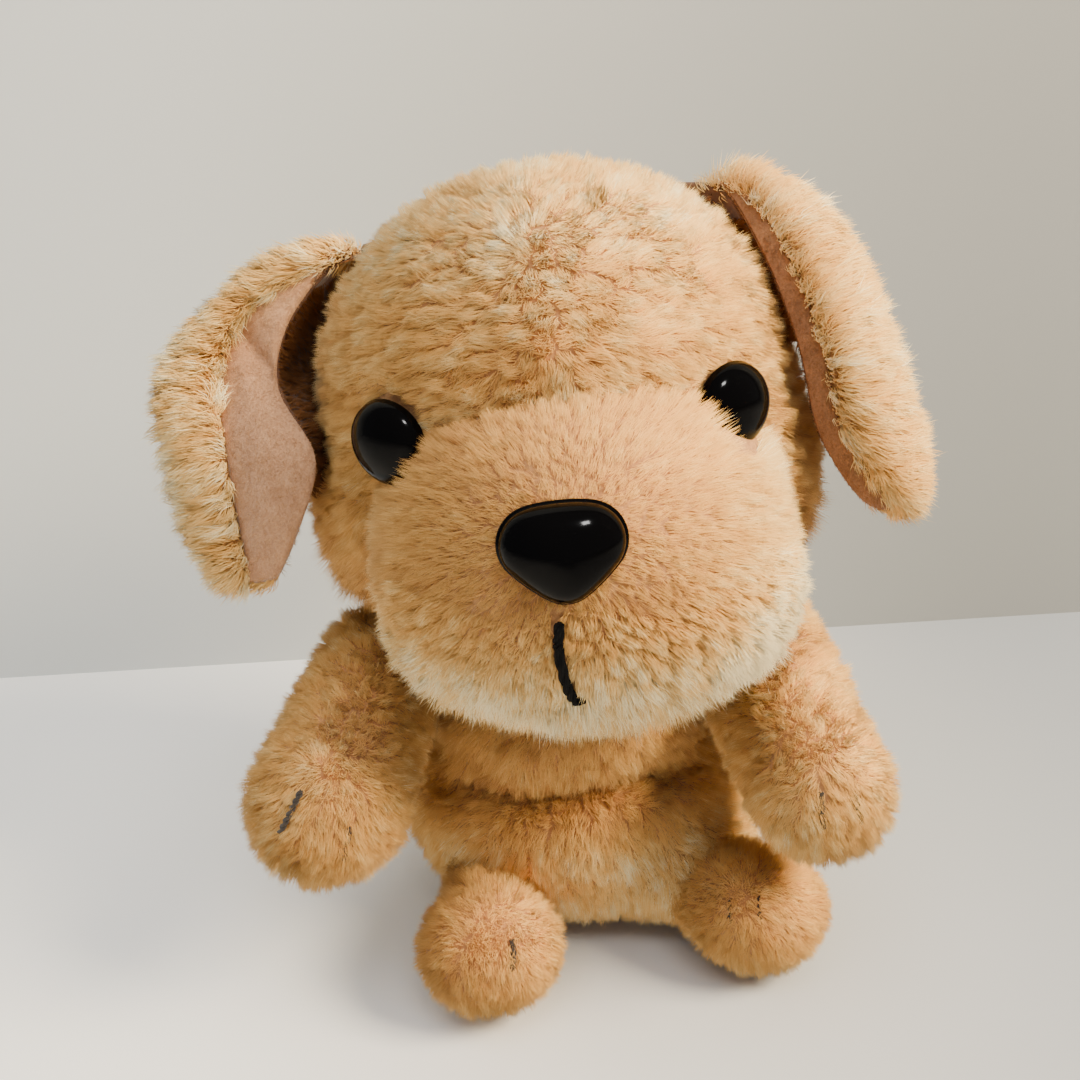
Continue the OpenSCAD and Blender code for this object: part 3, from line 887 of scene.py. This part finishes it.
def make_arm(side):
    a, b = (np.array(v, float) for v in ARMS[side])
    f = arm_f(side)
    mid = (a + b) / 2
    v, t = star(f, mid, 34, inset=LIMB_INSET, wrinkle=0.6, seed=14)
    skin(f"{side}_arm_cloth", v, t, f"{side}_arm", "plush_tan", [f"{side}_arm_skin"])
    stuffing(f"{side}_arm_wadding", f, mid, f"{side}_arm", [f"{side}_arm_filling"], n=14)
    run = unit(b - a)
    p, n = scatter(v, t, 17)

    def arm_comb(q):
        far = smoothstep(-4, 12, (q - b) @ run)
        return run * 0.45 + np.array([0, 0, -0.4]) + unit(q - b) * far[:, None] * 0.2

    def paw_tone(q):
        return 3.3 + 0.3 * smoothstep(-4, 10, (q - b) @ run) + 0.5 * noise(q, 7, 5)

    add_pile(f"{side}_arm_pile", f"{side}_arm", "plush_tan", p, n, arm_comb, 3.0, paw_tone, width=0.13,
             lift=0.8, ruffle=0.6, tuft=2.2, gather=0.5, seed=400)


def make_leg(side):
    a, b = (np.array(v, float) for v in LEGS[side])
    f = leg_f(side)
    mid = (a + b) / 2
    v, t = star(f, mid, 30, inset=LIMB_INSET, wrinkle=0.5, seed=15)
    v[:, 2] = np.maximum(v[:, 2], 0.9)
    skin(f"{side}_leg_cloth", v, t, f"{side}_leg", "plush_tan", [f"{side}_leg_skin"])
    stuffing(f"{side}_leg_wadding", f, mid, f"{side}_leg", [f"{side}_leg_filling"], n=12)
    p, n = scatter(v, t, 17, keep=lambda q, m: q[:, 2] > 1.6)
    comb = unit(b - a) * 0.4 + np.array([0, 0, -0.25])
    add_pile(f"{side}_leg_pile", f"{side}_leg", "plush_tan", p, n, comb,
             lambda q: 2.7 - 1.0 * smoothstep(5, 1.5, q[:, 2]),
             lambda q: 2.7 + 1.0 * smoothstep(14, 4, q[:, 2]),
             width=0.13, lift=0.75, ruffle=0.45, tuft=2.0, gather=0.4, peak=0.8, seed=500)


for side in SIDES:
    make_arm(side)
    make_leg(side)

v, t = star(tail_f, (0, 38, 13.7), 14, inset=1.2)
skin("tail_cloth", v, t, "tail", "plush_tan", ["tail_skin"])
stuffing("tail_wadding", tail_f, (0, 38, 13.7), "tail", ["tail_filling"], n=8, inset=2.4, rough=0.2)
p, n = scatter(v, t, 8)
add_pile("tail_pile", "tail", "plush_tan", p, n, (0, 0.9, 0.1), 4.2, 3.0, lift=0.45, seed=520)

# ---------------- ears

EAR_ROWS = {
    "left": [
        [[26.8, 7, 138.3], [30.3, 7, 135.3], [34.4, 7, 130.7]],
        [[30, 3.5, 139.5], [36, 4.5, 139.5], [41, 6.5, 136.5]],
        [[35, -6, 130.5], [43.5, -5, 131.7], [49.5, 4.5, 129]],
        [[39.5, -13.5, 117.5], [48.8, -12, 118.2], [56, 2, 117]],
        [[42.5, -16.5, 104.5], [53, -15, 104], [62, 0, 103]],
        [[47.5, -17, 95.5], [56.5, -16, 94], [64, -3, 93.5]],
        [[53.5, -14.5, 88.5], [58.5, -13.5, 87], [62.5, -9, 88]],
    ],
    "right": [
        [[-32.7, 7, 132.4], [-34.2, 7, 130.8], [-35.6, 7, 129]],
        [[-37.5, 2, 131], [-43, 3, 131], [-49, 3.5, 129.5]],
        [[-45, -3, 122.5], [-51, 0, 125], [-57, -2, 126]],
        [[-47, -8, 113], [-56, -3, 115], [-67, -8, 116]],
        [[-40.5, -18, 103.5], [-54, -12, 102.5], [-67, -12, 102]],
        [[-45, -19, 91], [-54, -14, 89], [-65, -14, 90]],
        [[-51, -17, 80], [-56, -15, 78.5], [-60, -15, 80]],
    ],
}


def through(p, t):
    """A smooth curve through rows of points; t is an array from 0 to 1."""
    p = np.array(p, float)
    n = len(p) - 1
    s = np.minimum(t * n, n - 1e-4)
    i = np.floor(s).astype(int)
    f = (s - i)[:, None]
    a, b, c, d = p[np.maximum(i - 1, 0)], p[i], p[i + 1], p[np.minimum(i + 2, n)]
    square, cube = 2 * a - 5 * b + 4 * c - d, 3 * b - a - 3 * c + d
    return 0.5 * (2 * b + (c - a) * f + square * f ** 2 + cube * f ** 3)


def ear_point(rows, u, v):
    k = [through([r[j] for r in rows], v) for j in range(3)]
    u = u[:, None]
    return k[0] * (1 - u) * (1 - 2 * u) + k[1] * 4 * u * (1 - u) + k[2] * u * (2 * u - 1)


def ear_normal(rows, u, v):
    e = 0.01
    du = ear_point(rows, np.minimum(u + e, 1), v) - ear_point(rows, np.maximum(u - e, 0), v)
    dv = ear_point(rows, u, np.minimum(v + e, 1)) - ear_point(rows, u, np.maximum(v - e, 0))
    return unit(np.cross(du, dv)), unit(du), unit(dv)


def ear_seam(side, v):
    """How far across the ear the lining reaches before the plush comes round the edge."""
    if side == "left":
        return 0.14 * smoothstep(0.09, 0.24, v) + 0.2 * smoothstep(0.66, 1, v)
    return 0.57 * smoothstep(0.13, 0.38, v) - 0.12 * smoothstep(0.8, 1, v)


def ear_sheet(rows, sign, near, far, u_of, v_of, nu, nv, round_at=4):
    """A closed pad between two distances from the ear's middle sheet, its edges rounded."""
    S, T = np.meshgrid(np.linspace(0, 1, nu + 1), np.linspace(0, 1, nv + 1))
    s, t = S.ravel(), T.ravel()
    v = v_of(t)
    u = u_of(s, v)
    mid, (n, _, _) = ear_point(rows, u, v), ear_normal(rows, u, v)
    edge = np.minimum(np.minimum(s, 1 - s) * nu, np.minimum(t, 1 - t) * nv) / round_at
    full = np.sqrt(np.clip(1 - (1 - np.clip(edge, 0, 1)) ** 2, 0, 1))
    lo, hi = near(u, v), far(u, v)
    centre, half = (lo + hi) / 2, (hi - lo) / 2
    front = mid + sign * n * (centre - half * full)[:, None]
    rear = mid + sign * n * (centre + half * full)[:, None]
    count = len(s)
    idx = np.arange(count).reshape(nv + 1, nu + 1)
    quads = grid_quads(idx)
    inner = idx[1:-1, 1:-1].ravel()
    remap = np.arange(count)
    remap[inner] = count + np.arange(len(inner))
    verts = np.concatenate([front, rear[inner]])
    faces = np.concatenate([quads[:, ::-1], remap[quads]] if sign > 0 else [quads, remap[quads][:, ::-1]])
    return verts, faces


def lining_f(side, u, v):
    """The lining's face: it bulges below the crease where the ear folds down."""
    belly = np.sin(math.pi * np.clip(u / 0.57, 0, 1))
    if side == "left":
        return -1.0 - 0.5 * belly
    low = smoothstep(0.44, 0.56, v + 0.12 * u) * smoothstep(1.0, 0.8, v)
    crease = np.exp(-((v + 0.12 * u - 0.46) / 0.025) ** 2)
    return -0.9 - 0.4 * belly - 1.5 * belly * low + 0.9 * crease


EAR_EDGE = 0.94     # the cloth ends here, and the pile reaches the ear's outline

ROLL = {"left": 1.9, "right": 1.7}              # mm, how far the plush swells at the rolled edge
FOLD_REACH = {"left": 0.5, "right": 0.74}       # how far down the ear its fold runs
FOLD_DEPTH = 3.0        # mm, how far the fold is sewn into the head
FOLD_Y = 8.0
FOLD_ROWS, FOLD_COLUMNS = 26, 13
FOLD_CLOTH = 0.9


def ear_fold(side, rows):
    """The plush that joins the ear's inner edge to the head, and bends between the two; its dark cloth and dark
    pile are painted shade in the gap there.
    """
    sign = SIGN[side]
    start = ear_point(rows, np.full(FOLD_ROWS, 0.03), np.linspace(0, FOLD_REACH[side], FOLD_ROWS))

    def sewn_at(z):
        x = bisect(lambda x: head_f(np.array([[sign * x, FOLD_Y, z]]))[0] < -FOLD_DEPTH, 0.0, 60.0, 24)
        return sign * x, FOLD_Y, z

    end = np.array([sewn_at(z) for z in start[:, 2]])
    sag = np.array([sign * 2.5, 5.0, 0])
    web = np.array([
        start * (1 - k) + end * k + sag * (k * (1 - k) * 2) for k in np.linspace(0, 1, FOLD_COLUMNS)
    ])
    verts = web.transpose(1, 0, 2).reshape(-1, 3)
    quads = grid_quads(np.arange(FOLD_ROWS * FOLD_COLUMNS).reshape(FOLD_ROWS, FOLD_COLUMNS))
    if sign > 0:
        quads = quads[:, ::-1]
    fold = make_mesh(f"{side}_ear_fold", verts, quads, [BACKING_PAINTED_SHADE])
    thicken(fold, FOLD_CLOTH)
    p, n = scatter(verts, halves(quads), 7, keep=lambda q, m: q[:, 2] < verts[:, 2].max() - 4)
    p = np.concatenate([p, p - n * FOLD_CLOTH])
    n = np.concatenate([n, -n])
    pile = strands(f"{side}_ear_fold_pile", p, n, (0, 0, -0.7), 2.2, 0, tones=PILE_PAINTED_SHADE, seed=640)
    for ob in (fold, pile):
        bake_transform(ob)


def make_ear(side):
    """The plush pad of an ear with its rolled edge, its lining, their pile, and the fold at the head."""
    rows = EAR_ROWS[side]
    sign = SIGN[side]
    body = f"{side}_ear"

    def near_f(u, v):
        seam = ear_seam(side, v)
        across = np.clip((u - seam) / (EAR_EDGE - seam), 0, 1)
        swell = ROLL[side] * np.sin(math.pi * np.clip(across, 0, 1) ** 0.7) * (across > 0)
        return 0.15 - swell - 0.4 * smoothstep(0, 0.1, across)

    verts, faces = ear_sheet(rows, sign, near_f, lambda u, v: 1.3 + 0 * u,
                             lambda s, v: EAR_EDGE * s, lambda t: 0.97 * t, 32, 56)
    outer = make_mesh(f"{side}_ear_plush", verts, faces, [BACKING])
    stand_in(outer, body, [f"{side}_ear_outer"])

    verts2, faces2 = ear_sheet(rows, sign,
                               lambda u, v: lining_f(side, u, v),
                               lambda u, v: 0.1 + 0.9 * smoothstep(0.1, 0, u),
                               lambda s, v: -0.02 + (np.maximum(ear_seam(side, v), 0.04) + 0.03) * s,
                               lambda t: 0.015 + 0.945 * t, 22, 56, 3)
    inner = make_mesh(f"{side}_ear_velour", verts2, faces2, [VELOUR_SHADE_PAINTED_LEFT[side]])
    stand_in(inner, body, [f"{side}_ear_lining"])

    # what the pile needs to know at a point: the nearest place on the ear's sheet
    gu, gv = np.meshgrid(np.linspace(0, 1, 33), np.linspace(0, 1, 65))
    gu, gv = gu.ravel(), gv.ravel()
    gp = ear_point(rows, gu, gv)
    gn, gdu, gdv = ear_normal(rows, gu, gv)

    def place(q):
        best = np.empty(len(q), int)
        for k in range(0, len(q), 2000):
            best[k:k + 2000] = ((q[k:k + 2000, None, :] - gp[None]) ** 2).sum(-1).argmin(1)
        return best

    def ear_pile(name, ok, comb, length, tone, lift, **kw):
        add_pile(name, body, "plush_tan", p[ok], n[ok], comb[ok], length[ok], tone[ok], lift=lift[ok], **kw)

    p, n = scatter(verts, halves(faces), 15)
    at = place(p)
    u, v = gu[at], gv[at]
    back_side = (n * gn[at]).sum(1) * sign > 0.05
    seam = ear_seam(side, v)
    tip_end = smoothstep(0.86, 1, v)
    rim = smoothstep(0.75, 0.92, u)
    # behind
    comb = gdu[at] * (0.35 + 0.5 * rim)[:, None] + gdv[at] * (0.75 - 0.3 * rim)[:, None]
    ear_pile(f"{side}_ear_back_pile", back_side & (u > 0.07), comb, 3.2 + 0.6 * rim, 3.4 + 0.9 * rim,
             0.5 - 0.15 * rim, width=0.16, seed=600)
    # the band that comes round to the front
    comb = gdu[at] * (1.0 - 0.3 * tip_end)[:, None] + gdv[at] * (0.12 + 0.75 * tip_end)[:, None]
    close = np.exp(-((u - seam) / 0.05) ** 2)
    length = 4.6 - 0.8 * rim - 0.9 * close
    tone = {"left": 4.1, "right": 4.3}[side] + 1.1 * close + 0.9 * rim
    ear_pile(f"{side}_ear_rim_pile", (~back_side) & ((u > seam) | (v > 0.95)), comb, length, tone,
             0.42 + 0.25 * close, ruffle=0.4, gather=0.6, tuft=2.4, width=0.15, bend=0.14, seed=610)

    p, n = scatter(verts2, halves(faces2), 14)
    at = place(p)
    ok = (n * gn[at]).sum(1) * sign < 0.3
    p, n, at = p[ok], n[ok], at[ok]
    add_pile(f"{side}_ear_nap", body, "velour_pink", p, n, lambda q: gdv[at] * 0.6, 0.7, 1.0, tones=NAP_SHADE_PAINTED_LEFT[side],
             width=0.13, lift=0.45, ruffle=0.3, tuft=1.2, gather=0.1, peak=0.3, seed=620)

    ear_fold(side, rows)


for side in SIDES:
    make_ear(side)

# ---------------- eyes, nose, mouth and toes

TURNS = 64


def lathe(name, profile, mat):
    """A closed turned shape: profile is (radius, height) from the axis at the top to the axis below."""
    verts = [(0, 0, profile[0][1])]
    for r, z in profile[1:-1]:
        for k in range(TURNS):
            a = 2 * math.pi * k / TURNS
            verts.append((r * math.cos(a), r * math.sin(a), z))
    verts.append((0, 0, profile[-1][1]))
    return make_mesh(name, verts, ring_faces(TURNS, len(profile) - 2), [mat])


def settle(ob, origin, out):
    """Turns ob's +Z to out and moves it to origin, in its mesh."""
    turn = Vector(out).to_track_quat("Z", "Y").to_matrix().to_4x4()
    ob.data.transform(Matrix.Translation(Vector(np.array(origin) * MM)) @ turn)
    ob.data.update()


QUARTER = np.linspace(0, math.pi / 2, 18)       # from the top of a dome to its edge
for side in SIDES:
    dome = [(EYE_R * math.sin(t), 0.5 + (EYE_H - 0.5) * math.cos(t)) for t in QUARTER]
    under = [(EYE_R + 0.12, 0.25), (EYE_R - 0.3, -0.4), (4.4, -0.9)]
    shank = [(1.6, -1.2), (1.6, -10.6), (0, -11)]
    ob = lathe(f"{side}_eye_dome", dome + under + shank, GLOSS)
    c, out = eye_place(side)
    settle(ob, c + 0.8 * out, out)
    stand_in(ob, "head", [f"{side}_eye"])

rings = [(math.sin(t) ** 0.9 * 0.97, 0.9 + 4.3 * math.cos(t)) for t in QUARTER[1:]]
rings += [(0.965, 0.55), (1.0, 0.5), (1.02, 0.25), (1.0, -0.5), (0.6, -1.0)]
verts = [(0, 0, 5.2)]
for share, z in rings:
    verts += [(x * share, y * share, z) for x, y in ring0]
verts.append((0, 0, -1.2))
nose = make_mesh("nose_dome", verts, ring_faces(len(ring0), len(rings)), [GLOSS])
turn = Matrix.Rotation(-HEAD_TILT, 4, "Y") @ Matrix.Rotation(math.pi / 2 - NOSE_LIFT, 4, "X")
nose.data.transform(Matrix.Translation(Vector(nose_c * MM)) @ turn)
stand_in(nose, "head", ["nose"])


THREAD_STEP = 0.22      # mm, from one ring of a thread's vertices to the next
THREAD_SIDES = 8


def twisted(name, pts, r, mat, body, nodes, plies=2, lay=2.4):
    """A twisted thread through points, as its own plies side by side."""
    pts = np.array(pts, float)
    seg = np.r_[0, np.cumsum(np.linalg.norm(np.diff(pts, axis=0), axis=1))]
    count = max(8, int(seg[-1] / THREAD_STEP))
    s = np.linspace(0, seg[-1], count)
    path = through(pts, s / seg[-1])
    tangent = unit(np.gradient(path, axis=0))
    ref = unit(np.cross(tangent, UP) + 1e-6)
    other = np.cross(tangent, ref)
    verts, faces = [], []
    around = THREAD_SIDES
    for ply in range(plies):
        phase = 2 * math.pi * (ply / plies + s / lay)
        off = path + r * 0.45 * (np.cos(phase)[:, None] * ref + np.sin(phase)[:, None] * other)
        base = len(verts)
        for k in range(count):
            close = min(1, min(k, count - 1 - k) / 1.5 + 0.2)
            for m in range(around):
                a = 2 * math.pi * m / around
                verts.append(off[k] + r * 0.6 * close * (math.cos(a) * ref[k] + math.sin(a) * other[k]))
        last = base + (count - 1) * around
        for o in range(base, last, around):
            for m in range(around):
                w = (m + 1) % around
                faces.append((o + m, o + w, o + around + w, o + around + m))
        faces.append(tuple(range(base, base + around))[::-1])
        faces.append(tuple(range(last, last + around)))
    stand_in(make_mesh(name, verts, faces, [mat]), body, nodes)


def on_surface(f, p, out, lift):
    """Moves p along out to where f = lift."""
    p, out = np.array(p, float), unit(np.array(out, float))
    return p + out * bisect(lambda d: f((p + out * d)[None])[0] < lift, -14.0, 14.0, 30)


path = [on_surface(muzzle_f, lean(np.array([x, -40, z])), (0, -1, -0.15), -0.2) for x, z in MOUTH]
twisted("mouth_thread", path, 0.8, THREAD, "head", ["mouth_stitch"], plies=3, lay=7)

# each toe line runs between two places on the ball, given as degrees round it and up it
PAW_TOES = {
    "left": [[(-14, 32), (-10, 0)], [(18, 28), (22, 0)]],
    "right": [[(-8, 44), (-23, 14)], [(26, 14), (18, -15)]],
}
FOOT_TOES = {
    "left": [[(-46, 48), (-34, 22)], [(-10, 56), (-8, 30)]],
    "right": [[(-34, 46), (-25, 20)], [(30, 48), (20, 20)]],
}
PAW_SUNK = {"left": (1.9, 2.0), "right": (0.5, 1.8)}       # mm, how deep the pile hides each line
FOOT_SUNK = {"left": (2.3, 2.0), "right": (3.0, 1.5)}


def ball_point(c, r, turn, high):
    turn, high = math.radians(turn), math.radians(high)
    level = math.cos(high)
    return np.array(c) + np.array(r) * np.array([
        math.sin(turn) * level, -math.cos(turn) * level, math.sin(high)])


def toe_threads(name, c, r, lines, sunk, body, node):
    """The two stitched lines of one paw, pulled into the pile by their own amounts."""
    for k in (0, 1):
        (t0, h0), (t1, h1) = lines[k]
        deep = np.array(r) - sunk[k]
        pts = [ball_point(c, deep, t0 + (t1 - t0) * s, h0 + (h1 - h0) * s) for s in np.linspace(0, 1, 6)]
        twisted(f"{name}_{k + 1}", pts, 0.55, THREAD_BROWN, body, [node])


for side in SIDES:
    toe_threads(f"{side}_paw_thread", ARMS[side][1], (ARM_R[side][1],) * 3, PAW_TOES[side], PAW_SUNK[side],
                f"{side}_arm", f"{side}_paw_stitches")
    toe_threads(f"{side}_foot_thread", LEGS[side][1], FOOT_R, FOOT_TOES[side], FOOT_SUNK[side],
                f"{side}_leg", f"{side}_foot_stitches")

# ---------------- carried-over parts

for name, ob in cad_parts.items():
    if "washer" in name:
        if not ob.material_slots:
            ob.data.materials.append(WASHER)
        for s in ob.material_slots:
            s.material = WASHER

# ---------------- floor, wall and light

def plane(name, corners, mat):
    make_mesh(name, np.array(corners, float) / MM, [(0, 1, 2, 3)], [mat], smooth=False)


def paint(name, left_colour, right_painted_shade):
    """Matt paint that turns slowly from one colour to a darker one across the room, towards the right: the
    darkening is painted shade.
    """
    m, nt, p = principled(name)
    link = nt.links.new
    where = add(nt, "NewGeometry")
    axis = add(nt, "SeparateXYZ")
    span = add(nt, "MapRange", From_Min=-0.13, From_Max=0.15)
    ramp = add_ramp(nt, left_colour, right_painted_shade)
    ramp.color_ramp.interpolation = "EASE"
    link(where.outputs["Position"], axis.inputs["Vector"])
    link(axis.outputs["X"], span.inputs["Value"])
    link(span.outputs["Result"], ramp.inputs["Fac"])
    link(ramp.outputs["Color"], p.inputs["Base Color"])
    tune(p, Roughness=0.6)
    # seen from behind the paint is clear, so the wall never hides the toy
    clear = add(nt, "BsdfTransparent")
    either = add(nt, "MixShader")
    link(where.outputs["Backfacing"], either.inputs["Fac"])
    link(p.outputs["BSDF"], either.inputs[1])
    link(clear.outputs["BSDF"], either.inputs[2])
    link(either.outputs["Shader"], nt.nodes["Material Output"].inputs["Surface"])
    return m


plane("floor", [(-1.5, -1.5, 0), (1.5, -1.5, 0), (1.5, 1.5, 0), (-1.5, 1.5, 0)],
      paint("floor_paint_with_painted_shade", srgb(255, 255, 255), srgb(150, 155, 163)))


def floor_at(x, y):
    """Where the camera's ray through a spot of the frame, from -1 to 1 across and up, meets the floor."""
    d = cam.matrix_world.to_3x3() @ Vector((x * SENSOR / 2, y * SENSOR / 2, -cam.data.lens))
    o = cam.matrix_world.translation
    return o - d * (o.z / d.z)


w0, w1 = floor_at(-1.0, -0.256), floor_at(1.0, -0.133)
along = (w1 - w0).normalized()
w0, w1 = w0 - along * 2, w1 + along * 2
plane("wall", [w0, w1, w1 + Vector((0, 0, 2)), w0 + Vector((0, 0, 2))],
      paint("wall_paint_with_painted_shade", srgb(212, 216, 216), srgb(142, 144, 144)))

world = bpy.data.worlds.new("studio")
bpy.context.scene.world = world
world.use_nodes = True
tune(world.node_tree.nodes["Background"], Color=(0.96, 0.98, 1.0, 1), Strength=0.34)


def area(name, place, target, size, power, colour):
    data = bpy.data.lights.new(name, "AREA")
    data.shape = "RECTANGLE"
    data.size, data.size_y = size
    data.energy = power
    data.color = colour
    ob = bpy.data.objects.new(name, data)
    bpy.context.scene.collection.objects.link(ob)
    ob.location = place
    ob.rotation_euler = (Vector(target) - Vector(place)).to_track_quat("-Z", "Y").to_euler()
    return ob


for key in (
    area("window", (0.48, -0.2, 0.48), (0, 0, 0.08), (0.24, 0.24), 12.0, (1.0, 0.83, 0.57)),
    area("sky", (-0.02, -0.22, 0.78), (0, 0, 0.08), (0.6, 0.5), 5.0, (1.0, 0.97, 0.92)),
):
    key.visible_glossy = False
spark = area("spark", (0.12, -0.3, 0.5), (0, 0, 0.1), (0.08, 0.07), 2.6, (1.0, 0.98, 0.95))
spark.visible_diffuse = False

# ---------------- boxes as plain numbers, and end

def flat(box):
    return [list(map(float, c)) for c in box]
